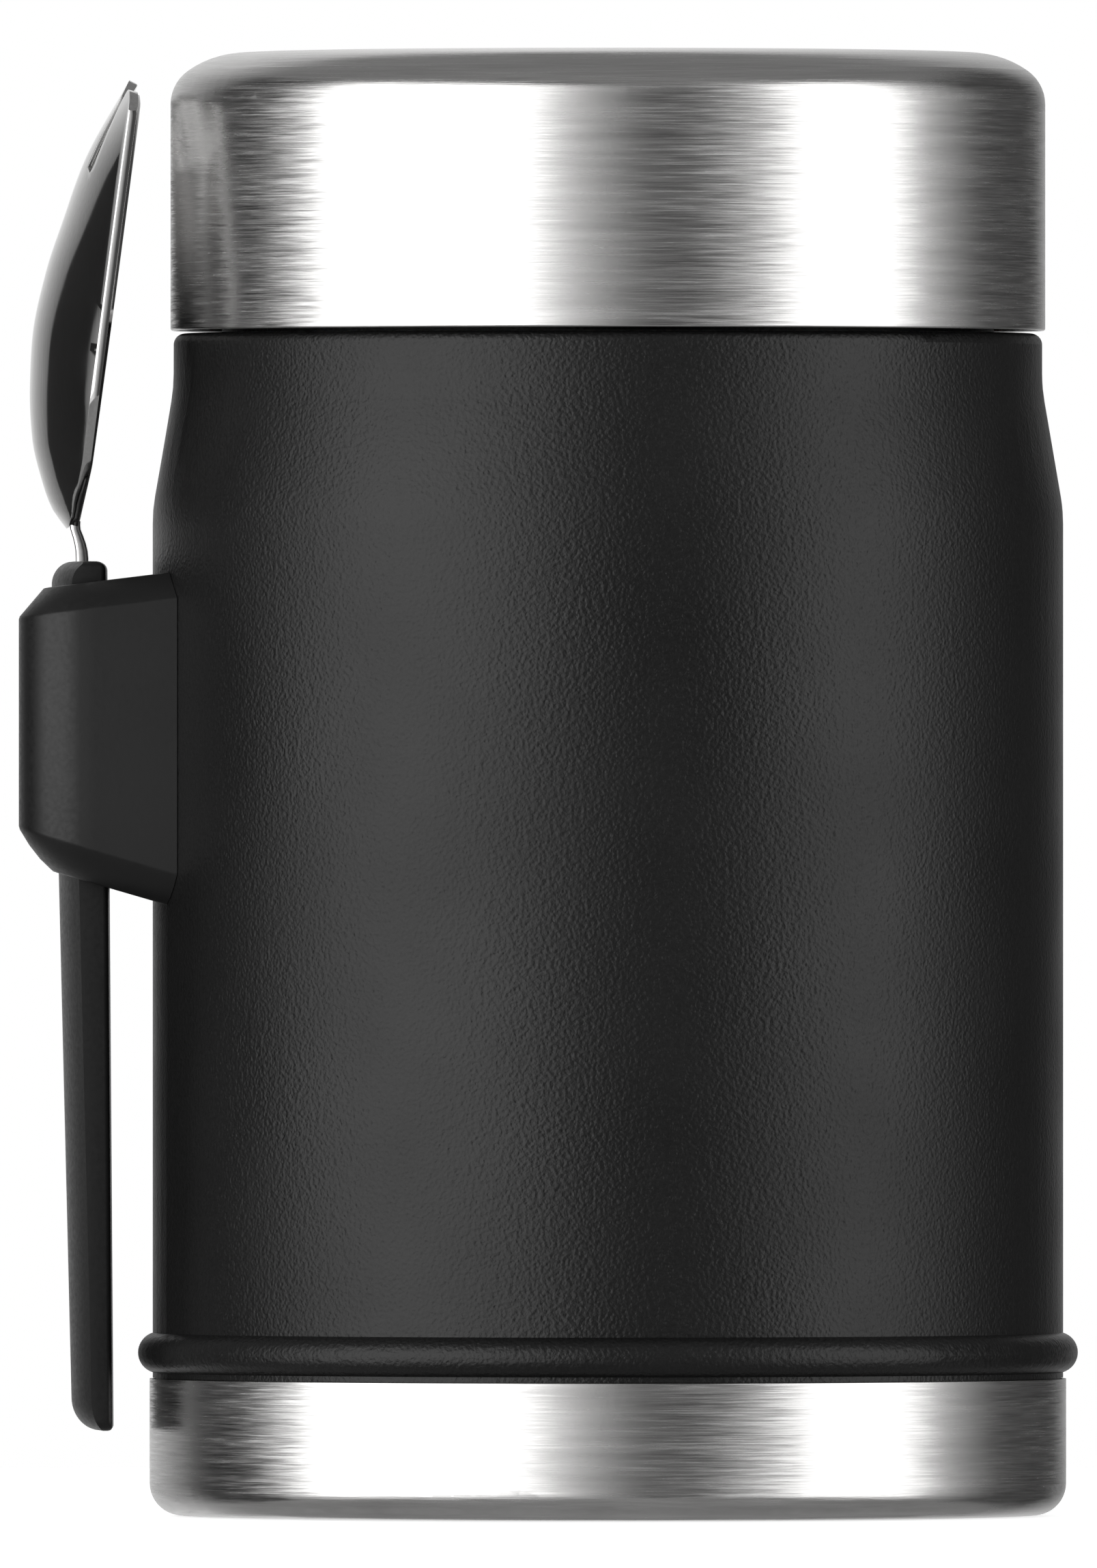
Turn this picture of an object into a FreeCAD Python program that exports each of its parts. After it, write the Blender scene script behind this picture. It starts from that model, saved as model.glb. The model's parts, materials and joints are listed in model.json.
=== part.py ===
"""Insulated food jar with a screw-off cup lid, a screw stopper and a spork in a side holder.

Millimetres, +Z up. The origin is the middle of the base's resting face, on the jar's axis.
The spork holder is on the -X side.
"""

import FreeCAD, Part
import math
import os
import re
import Sketcher

V = FreeCAD.Vector

DIMENSIONS = {
    # Outer shell
    "shell_radius": 44.24,
    "shell_wall": 0.7,
    "shell_foot": 4.5,
    "skirt_step": 0.29,
    "bead_rise": 2.53,
    "bead_round": 2.0,
    "bead_out": 1.43,
    "flare_low_drop": 17.15,
    "flare_high_drop": 5.25,
    "flare_blend": 16.0,
    "shoulder_inset": 2.04,
    "shoulder_height": 114.75,
    "shoulder_round": 1.1,
    # Neck and threads
    "neck_step": 4.7,
    "neck_height": 13.25,
    "neck_gap": 0.5,
    "thread_pitch": 4.0,
    "thread_height": 1.1,
    "thread_root": 1.6,
    "thread_crest": 0.7,
    "thread_gap": 0.6,
    "thread_inset": 0.3,
    "neck_thread_rise": 3.2,
    "plug_thread_rise": 2.2,
    "neck_thread_turns": 0.75,
    "vessel_thread_turns": 0.6,
    "plug_thread_turns": 0.65,
    "liner_thread_turns": 0.6,
    "plug_thread_angle": 20.0,
    "liner_thread_angle": 130.0,
    # Inner vessel
    "vessel_inset": 3.74,
    "vessel_wall": 0.5,
    "vessel_bottom": 9.5,
    "vessel_round": 8.0,
    "vessel_top_drop": 8.75,
    "lip_height": 0.6,
    # Bottom disc, plug, getter and foil
    "disc_wall": 0.6,
    "disc_rim": 2.5,
    "disc_gap": 0.05,
    "disc_inset": 0.6,
    "dimple_radius": 4.0,
    "dimple_depth": 1.2,
    "vent_radius": 0.8,
    "vent_plug_rise": 0.3,
    "vent_plug_low": 2.8,
    "vent_plug_high": 3.5,
    "getter_radius": 6.0,
    "getter_height": 1.6,
    "foil_wall": 0.15,
    "foil_gap": 0.3,
    "foil_top_drop": 4.0,
    # Base cup
    "base_out": 0.29,
    "base_height": 13.27,
    "base_seam": 0.1,
    "base_wall": 0.5,
    "base_round": 3.1,
    "base_recess_inset": 7.53,
    "base_recess": 1.2,
    # Stopper
    "gasket_width": 2.0,
    "gasket_height": 1.2,
    "gasket_out": 0.1,
    "seal_round": 0.3,
    "seat_gap": 0.3,
    "flange_inset": 0.2,
    "flange_height": 1.8,
    "plug_depth": 15.9,
    "plug_wall": 1.6,
    "plug_round": 1.2,
    "foam_gap": 0.1,
    "cap_height": 1.2,
    "cap_seam": 0.05,
    "cap_round": 0.5,
    "dish_gap": 1.1,
    "well_depth": 9.0,
    "cap_wall": 1.4,
    "grip_width": 8.0,
    "grip_drop": 0.4,
    "grip_into": 0.5,
    # Lid
    "lid_gap": 0.25,
    "lid_out": 0.3,
    "lid_height": 27.0,
    "lid_wall": 0.6,
    "lid_corner_width": 7.15,
    "lid_corner_height": 5.0,
    "lid_corner_side": 4.0,
    "lid_edge_round": 0.25,
    "liner_wall": 1.6,
    "liner_inset": 0.5,
    "liner_drop": 4.4,
    "liner_top_wall": 1.2,
    "liner_round": 3.0,
    "liner_foot_height": 2.2,
    "liner_seam": 0.05,
    "seal_groove": 1.0,
    "lid_seal_rise": 0.15,
    "lid_seal_width": 1.0,
    "lid_seal_height": 1.5,
    "lid_foam_inset": 8.5,
    # Holder
    "holder_reach": 12.91,
    "holder_half_width": 14.8,
    "holder_corner": 6.0,
    "holder_root": 6.0,
    "holder_height": 31.6,
    "holder_top_slope": 7.0,
    "holder_bottom": 59.7,
    "holder_bottom_slope": 16.3,
    "holder_top_bevel": 2.5,
    "holder_bottom_bevel": 3.4,
    "holder_seat_gap": 0.04,
    "slot_gap": 0.35,
    "slot_floor": 3.36,
    # Bracket and screws
    "bracket_thickness": 1.2,
    "bracket_half_width": 7.0,
    "bracket_rise": 6.3,
    "bracket_height": 20.0,
    "bracket_gap": 0.1,
    "screw_rise": 4.5,
    "screw_spacing": 11.0,
    "screw_radius": 1.2,
    "screw_fit": 0.03,
    "screw_head_radius": 2.3,
    "screw_head_height": 1.3,
    "screw_proud": 0.02,
    "screw_tip_gap": 0.15,
    "screw_socket_radius": 0.9,
    "screw_socket_depth": 0.8,
    # Spork handle
    "handle_rise": 1.3,
    "handle_length": 84.35,
    "handle_reach_top": 9.86,
    "handle_reach_bottom": 7.81,
    "handle_gap_top": 4.48,
    "handle_gap_bottom": 3.86,
    "handle_width_top": 21.0,
    "handle_width_bottom": 16.0,
    "handle_crown": 2.05,
    "handle_top_round": 1.6,
    "handle_end_round": 2.6,
    # Spork head
    "tang_reach": 7.43,
    "tang_thickness": 1.2,
    "tang_width": 9.0,
    "tang_depth": 30.0,
    "neck_rise": 3.4,
    "neck_into": 0.8,
    "neck_follow": 0.05,
    "neck_inset": 0.02,
    "crease_drop": 0.4,
    "rim_reach": 7.02,
    "rim_tilt": 7.56,
    "bowl_length": 43.4,
    "bowl_depth": 7.0,
    "bowl_half_width": 15.2,
    "bowl_sheet": 0.9,
    "tine_sheet": 0.5,
    "tine_count": 4,
    "tine_length": 9.4,
    "tine_slot": 1.9,
    "tine_step": 0.9,
    # How far a cutting shape runs past what it cuts
    "cut_past": 8.0,
}

# Sizes that follow from the driving ones
DERIVED = {
    "skirt_radius": "shell_radius - skirt_step",
    "bead_height": "base_height + bead_rise",
    "bead_radius": "shell_radius + bead_out",
    "flare_low": "shoulder_height - flare_low_drop",
    "flare_high": "shoulder_height - flare_high_drop",
    "shoulder_radius": "shell_radius - shoulder_inset",
    "neck_radius": "shoulder_radius - neck_step",
    "vessel_radius": "shell_radius - vessel_inset",
    "vessel_top": "shoulder_height - vessel_top_drop",
    "base_radius": "shell_radius + base_out",
    "base_recess_radius": "base_radius - base_recess_inset",
    "skirt_top": "base_height + base_seam",
    "disc_low": "shell_foot + disc_inset",
    "lip": "shoulder_height + neck_height",
    "neck_bore": "neck_radius - shell_wall - neck_gap - vessel_wall",
    "thread_lead": "2 * thread_pitch",
    "neck_thread_low": "shoulder_height + neck_thread_rise",
    "plug_thread_low": "shoulder_height + plug_thread_rise",
    "flange_radius": "neck_radius - flange_inset",
    "flange_bottom": "lip + 2 * seat_gap + gasket_height",
    "flange_top": "flange_bottom + flange_height",
    "plug_radius": "neck_bore - thread_height - thread_gap",
    "plug_bottom": "lip - plug_depth",
    "cap_low": "flange_top + cap_seam",
    "cap_top": "cap_low + cap_height",
    "well_radius": "plug_radius - plug_wall - cap_wall - dish_gap",
    "well_floor": "cap_top - well_depth",
    "lid_radius": "shoulder_radius + lid_out",
    "lid_bottom": "shoulder_height + lid_gap",
    "lid_top": "lid_bottom + lid_height",
    "liner_bore": "neck_radius + thread_height + thread_gap",
    "liner_ceiling": "lid_top - liner_drop",
    "liner_top": "liner_ceiling + liner_top_wall",
    "foam_radius": "lid_radius - lid_foam_inset",
    "holder_front": "shell_radius + holder_reach",
    "holder_back": "shell_radius - holder_root",
    "holder_top": "holder_bottom + holder_height",
    "slot_back": "shell_radius + slot_floor",
    "bracket_low": "holder_bottom + bracket_rise",
    "bracket_high": "bracket_low + bracket_height",
    "screw_low": "bracket_low + screw_rise",
    "handle_top": "holder_top + handle_rise",
    "handle_outer_top": "shell_radius + handle_reach_top",
    "handle_outer_bottom": "shell_radius + handle_reach_bottom",
    "handle_back_top": "shell_radius + handle_gap_top",
    "handle_back_bottom": "shell_radius + handle_gap_bottom",
    "tang_outer": "shell_radius + tang_reach",
    "rim_x": "shell_radius + rim_reach",
}

doc = FreeCAD.newDocument("food_jar")
sheet = doc.addObject("Spreadsheet::Sheet", "dims")
for row, (alias, number) in enumerate(DIMENSIONS.items(), start=1):
    sheet.set(f"A{row}", alias)
    sheet.set(f"B{row}", str(number))
    sheet.setAlias(f"B{row}", alias)
doc.recompute()

# Lengths closer than this count as equal
NEAR = 0.001


def each_name(text, change):
    return re.sub(r"[a-z][a-z_]+", lambda word: change(word[0]), str(text))


def spelt_out(text):
    """An expression in driving sizes alone."""
    return each_name(text, lambda name: f"({spelt_out(DERIVED[name])})" if name in DERIVED else name)


def bound(text):
    """An expression in which each size's name points at its cell."""
    return each_name(spelt_out(text), lambda name: f"dims.{name}" if name in DIMENSIONS else name)


def size(text):
    """The present value of an expression, in millimetres or degrees."""
    return float(sheet.evalExpression(spelt_out(text)))


# Sketches and turned blanks


def arc_through(start, end, radius, turn):
    """The arc under a half circle from start to end; turn is 1 anticlockwise and -1 clockwise."""
    chord = end - start
    middle = (start + end) * 0.5
    reach = math.sqrt(max(radius**2 - chord.Length**2 / 4, 0))
    left = V(-chord.y, chord.x, 0).normalize()
    centre = middle + left * (reach * turn)
    circle = Part.Circle(centre, V(0, 0, 1), radius)
    angles = [math.atan2(p.y - centre.y, p.x - centre.x) for p in (start, end)]
    return Part.ArcOfCircle(circle, *(angles if turn > 0 else angles[::-1]))


def draw(sketch, outline):
    """Closes an outline of corners (x, y) or (x, y, radius, turn), where the last form starts an arc."""
    corners = [V(size(corner[0]), size(corner[1]), 0) for corner in outline]
    turns = []
    for i, corner in enumerate(outline):
        start, end = corners[i], corners[(i + 1) % len(corners)]
        if len(corner) == 4:
            turns.append(corner[3])
            sketch.addGeometry(arc_through(start, end, size(corner[2]), corner[3]), False)
        else:
            turns.append(1)
            sketch.addGeometry(Part.LineSegment(start, end), False)
    for i, corner in enumerate(outline):
        begin, finish = (1, 2) if turns[i] > 0 else (2, 1)
        after = (i + 1) % len(outline)
        next_begin = 1 if turns[after] > 0 else 2
        sketch.addConstraint(Sketcher.Constraint("Coincident", i, finish, after, next_begin))
        for letter, kind, text in (("x", "DistanceX", corner[0]), ("y", "DistanceY", corner[1])):
            index = sketch.addConstraint(Sketcher.Constraint(kind, -1, 1, i, begin, size(text)))
            sketch.renameConstraint(index, f"{letter}{i}")
            sketch.setExpression(f"Constraints.{letter}{i}", bound(text))
        if len(corner) == 4:
            index = sketch.addConstraint(Sketcher.Constraint("Radius", i, size(corner[2])))
            sketch.renameConstraint(index, f"round{i}")
            sketch.setExpression(f"Constraints.round{i}", bound(corner[2]))


def origin_plane(body, role):
    return next(feature for feature in body.Origin.OriginFeatures if feature.Role == role)


def body_sketch(body, name, role, outline):
    """A sketch on one of the body's origin planes."""
    sketch = body.newObject("Sketcher::SketchObject", name)
    sketch.AttachmentSupport = (origin_plane(body, role), [""])
    sketch.MapMode = "FlatFace"
    draw(sketch, outline)
    return sketch


def free_sketch(name, outline, upright=False):
    """A sketch in the XY plane, or stood up in the XZ plane."""
    sketch = doc.addObject("Sketcher::SketchObject", name)
    if upright:
        sketch.Placement = FreeCAD.Placement(V(), FreeCAD.Rotation(V(1, 0, 0), 90))
    draw(sketch, outline)
    return sketch


def lathe(name, outline):
    """A body turned about the jar's axis from an outline of (radius, height) corners."""
    body = doc.addObject("PartDesign::Body", name)
    sketch = body_sketch(body, name + "_outline", "XZ_Plane", outline)
    turned = body.newObject("PartDesign::Revolution", name + "_turned")
    turned.Profile = sketch
    turned.ReferenceAxis = (sketch, ["V_Axis"])
    turned.Angle = 360
    sketch.Visibility = False
    doc.recompute()
    return body


def ring_edges(shape, places):
    """The names of the round edges at each (radius, height)."""
    names = []
    for radius, height in places:
        near = lambda curve: (
            isinstance(curve, Part.Circle)
            and abs(curve.Radius - size(radius)) < NEAR
            and abs(curve.Center.z - size(height)) < NEAR
        )
        names += [f"Edge{i}" for i, edge in enumerate(shape.Edges, start=1) if near(edge.Curve)]
    return names


def round_rings(body, radius, places):
    """Rounds a turned body's edges at each (radius, height)."""
    base = body.Tip
    fillet = body.newObject("PartDesign::Fillet", f"{body.Name}_round{len(body.Group)}")
    fillet.Base = (base, ring_edges(base.Shape, places))
    fillet.setExpression("Radius", bound(radius))
    doc.recompute()


def boolean(kind, name, base, tool):
    result = doc.addObject(f"Part::{kind}", name)
    result.Base, result.Tool = base, tool
    doc.recompute()
    return result


def fused(name, shapes):
    result = doc.addObject("Part::MultiFuse", name)
    result.Shapes = shapes
    doc.recompute()
    return result


def bind(feature, **places):
    """Binds properties of a primitive: plain sizes by name, and x, y, z for its place."""
    for key, text in places.items():
        path = f"Placement.Base.{key}" if key in "xyz" else key
        feature.setExpression(path, bound(text))
    return feature


def primitive(kind, name, **places):
    return bind(doc.addObject(f"Part::{kind}", name), **places)


def thread(name, wall, outward, start_height, start_angle, turns):
    """Two starts of a right-hand thread on a wall; outward is 1 on a shaft and -1 in a bore."""
    side = "+" if outward > 0 else "-"
    back = "-" if outward > 0 else "+"
    inside = f"{wall} {back} thread_inset"
    crest = f"{wall} {side} thread_height"
    ridges = []
    for start in range(2):
        profile = free_sketch(
            f"{name}_profile{start}",
            [
                (inside, "0 - thread_root / 2"),
                (crest, "0 - thread_crest / 2"),
                (crest, "thread_crest / 2"),
                (inside, "thread_root / 2"),
            ],
            upright=True,
        )
        helix = primitive(
            "Helix", f"{name}_helix{start}", Radius=wall, Pitch="thread_lead", Height=f"thread_lead * {turns}"
        )
        ridge = doc.addObject("Part::Sweep", f"{name}_ridge{start}")
        ridge.Sections = [profile]
        ridge.Spine = (helix, ["Edge1"])
        ridge.Solid = True
        ridge.Frenet = True
        angle = size(start_angle) + 180 * start
        for item in (profile, helix):
            upright = item.Placement.Rotation
            item.Placement = FreeCAD.Placement(V(), FreeCAD.Rotation(V(0, 0, 1), angle) * upright)
            bind(item, z=f"{start_height} + thread_lead * {start_angle} / 360")
        ridges.append(ridge)
    doc.recompute()
    return ridges


# Jar body


def make_outer_shell():
    bead_centre = "(bead_radius - bead_round)"
    inner = "(shell_radius - shell_wall)"
    skirt_inner = "(skirt_radius - shell_wall)"
    rise = f"sqrt(pow(bead_round; 2) - pow(shell_radius - {bead_centre}; 2))"
    inner_rise = f"sqrt(pow(bead_round - shell_wall; 2) - pow({inner} - {bead_centre}; 2))"
    neck_inner = "(neck_radius - shell_wall)"
    top = "(lip - lip_height)"
    blank = lathe(
        "outer_shell_blank",
        [
            (skirt_inner, "shell_foot"),
            ("skirt_radius", "shell_foot"),
            ("skirt_radius", "skirt_top"),
            ("shell_radius", "skirt_top"),
            ("shell_radius", f"bead_height - {rise}", "bead_round", 1),
            ("bead_radius", "bead_height", "bead_round", 1),
            ("shell_radius", f"bead_height + {rise}"),
            ("shell_radius", "flare_low"),
            ("shoulder_radius", "flare_high"),
            ("shoulder_radius", "shoulder_height"),
            ("neck_radius", "shoulder_height"),
            ("neck_radius", top),
            (neck_inner, top),
            (neck_inner, "shoulder_height - shell_wall"),
            ("shoulder_radius - shell_wall", "shoulder_height - shell_wall"),
            ("shoulder_radius - shell_wall", "flare_high"),
            (inner, "flare_low"),
            (inner, f"bead_height + {inner_rise}", "bead_round - shell_wall", -1),
            ("bead_radius - shell_wall", "bead_height", "bead_round - shell_wall", -1),
            (inner, f"bead_height - {inner_rise}"),
            (inner, "skirt_top + shell_wall / 4"),
            (skirt_inner, "skirt_top - shell_wall"),
        ],
    )
    round_rings(blank, "flare_blend", [("shell_radius", "flare_low"), ("shoulder_radius", "flare_high")])
    round_rings(blank, "shoulder_round", [("shoulder_radius", "shoulder_height")])
    ridges = thread("neck_thread", "neck_radius", 1, "neck_thread_low", "0", "neck_thread_turns")
    return fused("outer_shell", [blank] + ridges)


def make_inner_vessel():
    inside = "(vessel_radius - vessel_wall)"
    neck_outside = "(neck_bore + vessel_wall)"
    slope = f"(vessel_radius - {neck_outside})"
    blank = lathe(
        "inner_vessel_blank",
        [
            ("0", "vessel_bottom"),
            ("vessel_radius", "vessel_bottom"),
            ("vessel_radius", "vessel_top"),
            (neck_outside, f"vessel_top + {slope}"),
            (neck_outside, "lip - lip_height"),
            ("neck_radius", "lip - lip_height"),
            ("neck_radius", "lip"),
            ("neck_bore", "lip"),
            ("neck_bore", f"vessel_top + {slope} - vessel_wall / 2"),
            (inside, "vessel_top - vessel_wall / 2"),
            (inside, "vessel_bottom + vessel_wall"),
            ("0", "vessel_bottom + vessel_wall"),
        ],
    )
    round_rings(blank, "vessel_round", [("vessel_radius", "vessel_bottom")])
    round_rings(blank, "vessel_round - vessel_wall", [(inside, "vessel_bottom + vessel_wall")])
    ridges = thread("vessel_thread", "neck_bore", -1, "plug_thread_low", "0", "vessel_thread_turns")
    return fused("inner_vessel", [blank] + ridges)


def make_shell_bottom():
    rim, low = "(skirt_radius - shell_wall - disc_gap)", "disc_low"
    return lathe(
        "shell_bottom",
        [
            ("vent_radius", f"{low} + dimple_depth"),
            ("dimple_radius", f"{low} + dimple_depth"),
            ("dimple_radius", low),
            (rim, low),
            (rim, f"{low} + disc_rim"),
            (f"{rim} - disc_wall", f"{low} + disc_rim"),
            (f"{rim} - disc_wall", f"{low} + disc_wall"),
            ("dimple_radius + disc_wall", f"{low} + disc_wall"),
            ("dimple_radius + disc_wall", f"{low} + dimple_depth + disc_wall"),
            ("vent_radius", f"{low} + dimple_depth + disc_wall"),
        ],
    )


def make_vacuum_plug():
    low = "disc_low"
    return lathe(
        "vacuum_plug",
        [
            ("0", f"{low} + vent_plug_rise"),
            ("vent_plug_low", f"{low} + vent_plug_rise"),
            ("vent_plug_high", f"{low} + dimple_depth"),
            ("0", f"{low} + dimple_depth"),
        ],
    )


def make_getter():
    return primitive(
        "Cylinder",
        "getter",
        Radius="getter_radius",
        Height="getter_height",
        x="getter_radius * 2",
        z="vessel_bottom - getter_height",
    )


def make_foil():
    inside = "(vessel_radius + foil_gap)"
    return lathe(
        "reflective_foil",
        [
            (inside, "vessel_bottom + vessel_round"),
            (f"{inside} + foil_wall", "vessel_bottom + vessel_round"),
            (f"{inside} + foil_wall", "vessel_top - foil_top_drop"),
            (inside, "vessel_top - foil_top_drop"),
        ],
    )


def make_base_cup():
    inside = "(base_radius - base_wall)"
    slope = "(base_recess_radius - base_recess)"
    body = lathe(
        "base_cup",
        [
            ("0", "base_recess"),
            (slope, "base_recess"),
            ("base_recess_radius", "0"),
            ("base_radius", "0"),
            ("base_radius", "base_height"),
            (inside, "base_height"),
            (inside, "base_wall"),
            ("base_recess_radius + base_wall / 2", "base_wall"),
            (f"{slope} + base_wall / 2", "base_recess + base_wall"),
            ("0", "base_recess + base_wall"),
        ],
    )
    round_rings(body, "base_round", [("base_radius", "0")])
    round_rings(body, "base_round - base_wall", [(inside, "base_wall")])
    return body


# Spork holder, bracket and screws


def extruded(name, sketch, direction, forward, backward="0"):
    solid = doc.addObject("Part::Extrusion", name)
    solid.Base = sketch
    solid.DirMode = "Custom"
    solid.Dir = direction
    solid.Solid = True
    bind(solid, LengthFwd=forward, LengthRev=backward)
    doc.recompute()
    return solid


def edges_where(shape, test):
    return [i for i, edge in enumerate(shape.Edges, start=1) if test(edge)]


def bevel(name, base, amount, test):
    feature = doc.addObject("Part::Chamfer", name)
    feature.Base = base
    feature.Edges = [(i, size(amount), size(amount)) for i in edges_where(base.Shape, test)]
    doc.recompute()
    return feature


def make_holder_blank():
    """The plan outline and the side outline in common, bevelled along the top and the bottom."""
    front, half, corner = "0 - holder_front", "holder_half_width", "holder_corner"
    back = "0 - holder_back"
    plan = free_sketch(
        "holder_plan",
        [
            (back, f"0 - {half}"),
            (back, half),
            (f"{front} + {corner}", half, corner, 1),
            (front, f"{half} - {corner}"),
            (front, f"{corner} - {half}", corner, 1),
            (f"{front} + {corner}", f"0 - {half}"),
        ],
    )
    block = extruded("holder_block", plan, V(0, 0, 1), "holder_top + cut_past")
    top_drop = "(holder_front - shell_radius) * tan(holder_top_slope)"
    bottom_rise = "(holder_front - shell_radius) * tan(holder_bottom_slope)"
    side = free_sketch(
        "holder_side",
        [
            (f"{front} - cut_past", f"holder_bottom + {bottom_rise} + cut_past * tan(holder_bottom_slope)"),
            ("0 - shell_radius + cut_past", f"holder_bottom - cut_past * tan(holder_bottom_slope)"),
            ("0 - shell_radius + cut_past", f"holder_top + cut_past * tan(holder_top_slope)"),
            (f"{front} - cut_past", f"holder_top - {top_drop} - cut_past * tan(holder_top_slope)"),
        ],
        upright=True,
    )
    reach = "holder_half_width + cut_past"
    slab = extruded("holder_slab", side, V(0, 1, 0), reach, reach)
    blank = boolean("Common", "holder_blank", block, slab)

    def outer(edge, high):
        box = edge.BoundBox
        middle = (size("holder_top") + size("holder_bottom")) / 2
        return (box.ZMin > middle) == high and (box.ZMax > middle) == high and box.XMin < size(back) - NEAR

    topped = bevel("holder_topped", blank, "holder_top_bevel", lambda edge: outer(edge, True))
    return bevel("holder_bevelled", topped, "holder_bottom_bevel", lambda edge: outer(edge, False))


def handle_outline(outer, back, width):
    """The handle's section: flat back and sides, crowned outside."""
    side = f"(0 - {outer} + handle_crown)"
    crown = f"(pow({width}; 2) / (8 * handle_crown) + handle_crown / 2)"
    return [
        (side, f"{width} / 2", crown, 1),
        (side, f"0 - {width} / 2"),
        (f"0 - {back}", f"0 - {width} / 2"),
        (f"0 - {back}", f"{width} / 2"),
    ]


def along_handle(top, bottom, height):
    """A size that runs evenly from its value at the handle's top to that at its bottom."""
    return f"({top} + ({bottom} - {top}) * (handle_top - {height}) / handle_length)"


def ruled_loft(name, low, high, outline_low, outline_high):
    """A straight-sided solid between an outline at each of two heights."""
    sections = []
    for tag, height, outline in (("low", low, outline_low), ("high", high, outline_high)):
        sketch = free_sketch(f"{name}_{tag}", outline)
        sections.append(bind(sketch, z=height))
    loft = doc.addObject("Part::Loft", name)
    loft.Sections = sections
    loft.Solid = True
    loft.Ruled = True
    doc.recompute()
    return loft


def make_slot():
    """The handle's own taper grown by the clearance, deep enough behind for the handle to lift out."""

    def section(height):
        outer = along_handle("handle_outer_top", "handle_outer_bottom", height)
        width = along_handle("handle_width_top", "handle_width_bottom", height)
        return handle_outline(f"({outer} + slot_gap)", "slot_back", f"({width} + 2 * slot_gap)")

    low, high = "(holder_bottom - cut_past)", "(holder_top + cut_past)"
    return ruled_loft("holder_slot", low, high, section(low), section(high))


def tube(name, inner, outer, low, high):
    """A round wall about the jar's axis."""
    outside = primitive("Cylinder", name + "_out", Radius=outer, Height=f"{high} - {low}", z=low)
    inside = primitive("Cylinder", name + "_in", Radius=inner, Height=f"{high} - {low}", z=low)
    return boolean("Cut", name, outside, inside)


def make_holder():
    blank = make_holder_blank()
    height = "holder_top + cut_past"
    jar = primitive("Cylinder", "holder_jar", Radius="shell_radius + holder_seat_gap", Height=height)
    recess = bracket_plate("holder_recess", "bracket_gap")
    holes = [screw_shape(f"holder_hole{i}", i, "screw_fit") for i in range(2)]
    tools = fused("holder_tools", [jar, make_slot(), recess] + holes)
    return boolean("Cut", "spork_holder", blank, tools)


def bracket_plate(name, grow):
    """The bracket's curved plate, grown all round by a clearance."""
    seat = "shell_radius + holder_seat_gap"
    low, high = f"(bracket_low - {grow})", f"(bracket_high + {grow})"
    wall = tube(name + "_wall", seat, f"{seat} + bracket_thickness + {grow}", low, high)
    box = primitive(
        "Box",
        name + "_box",
        Length="2 * cut_past",
        Width=f"2 * (bracket_half_width + {grow})",
        Height=f"{high} - {low}",
        x="0 - shell_radius - cut_past",
        y=f"0 - bracket_half_width - {grow}",
        z=low,
    )
    return boolean("Common", name, wall, box)


def screw_shape(name, number, grow):
    """A countersunk screw lying along X, head towards -X, grown by a clearance."""
    height = f"screw_low + {number} * screw_spacing"
    head = primitive(
        "Cone",
        name + "_head",
        Radius1=f"screw_head_radius + {grow}",
        Radius2=f"screw_radius + {grow}",
        Height="screw_head_height",
        x="0 - slot_back - screw_proud",
        z=height,
    )
    shank = primitive(
        "Cylinder",
        name + "_shank",
        Radius=f"screw_radius + {grow}",
        Height="slot_back - shell_radius - screw_tip_gap",
        x="0 - slot_back - screw_proud",
        z=height,
    )
    for item in (head, shank):
        item.Placement = FreeCAD.Placement(item.Placement.Base, FreeCAD.Rotation(V(0, 1, 0), 90))
    return fused(name, [head, shank])


def make_bracket():
    plate = bracket_plate("bracket_blank", "0")
    holes = fused("bracket_holes", [screw_shape(f"bracket_hole{i}", i, "screw_fit") for i in range(2)])
    return boolean("Cut", "holder_bracket", plate, holes)


def make_screws():
    screws = []
    for i in range(2):
        body = screw_shape(f"screw_body{i}", i, "0")
        socket = doc.addObject("Part::Prism", f"screw_socket{i}")
        socket.Polygon = 6
        bind(socket, Circumradius="screw_socket_radius", Height="screw_socket_depth + cut_past")
        socket.Placement = FreeCAD.Placement(V(), FreeCAD.Rotation(V(0, 1, 0), 90))
        bind(socket, x="0 - slot_back - cut_past", z=f"screw_low + {i} * screw_spacing")
        screws.append(boolean("Cut", f"screw{i}", body, socket))
    group = doc.addObject("Part::Compound", "holder_screws")
    group.Links = screws
    doc.recompute()
    return group


# Stopper


def make_stopper_body():
    inside = "(plug_radius - plug_wall)"
    blank = lathe(
        "stopper_body_blank",
        [
            ("0", "plug_bottom"),
            ("plug_radius", "plug_bottom"),
            ("plug_radius", "flange_bottom"),
            ("flange_radius", "flange_bottom"),
            ("flange_radius", "flange_top"),
            (inside, "flange_top"),
            (inside, "plug_bottom + plug_wall"),
            ("0", "plug_bottom + plug_wall"),
        ],
    )
    round_rings(blank, "plug_round", [("plug_radius", "plug_bottom")])
    low = "plug_thread_low - thread_pitch / 2"
    ridges = thread("plug_thread", "plug_radius", 1, low, "plug_thread_angle", "plug_thread_turns")
    return fused("stopper_body", [blank] + ridges)


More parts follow.
